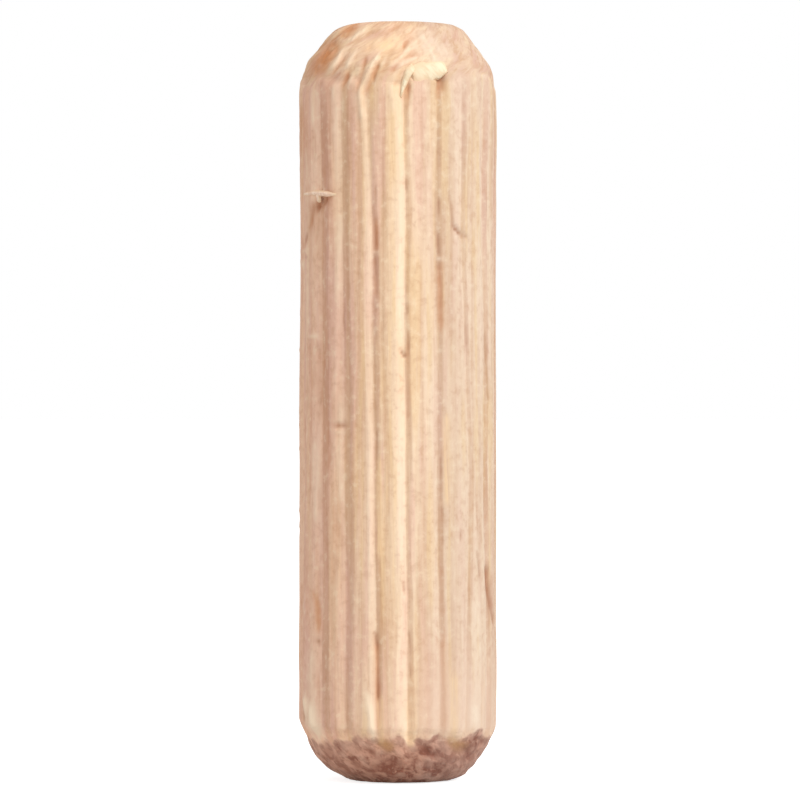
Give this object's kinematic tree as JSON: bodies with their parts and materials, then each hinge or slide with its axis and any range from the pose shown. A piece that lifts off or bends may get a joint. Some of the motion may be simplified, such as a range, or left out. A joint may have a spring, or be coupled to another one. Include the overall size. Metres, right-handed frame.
{
  "type": "dowel pin",
  "caption": "Straight wooden dowel pin with pressed glue flutes along its side and a rounded taper at each end, for joining boards edge to edge.",
  "frame": {"origin": "centre of the lower end face, on the pin's axis, where the pin stands", "axes": "+Z along the pin's axis, towards the upper end; -Y is the front"},
  "size_m": [0.0078, 0.0078, 0.03],
  "materials": {
    "beech": "raw, dry, unsealed"
  },
  "bodies": {
    "root": {"dowel_pin": "beech"}
  },
  "joints": []
}
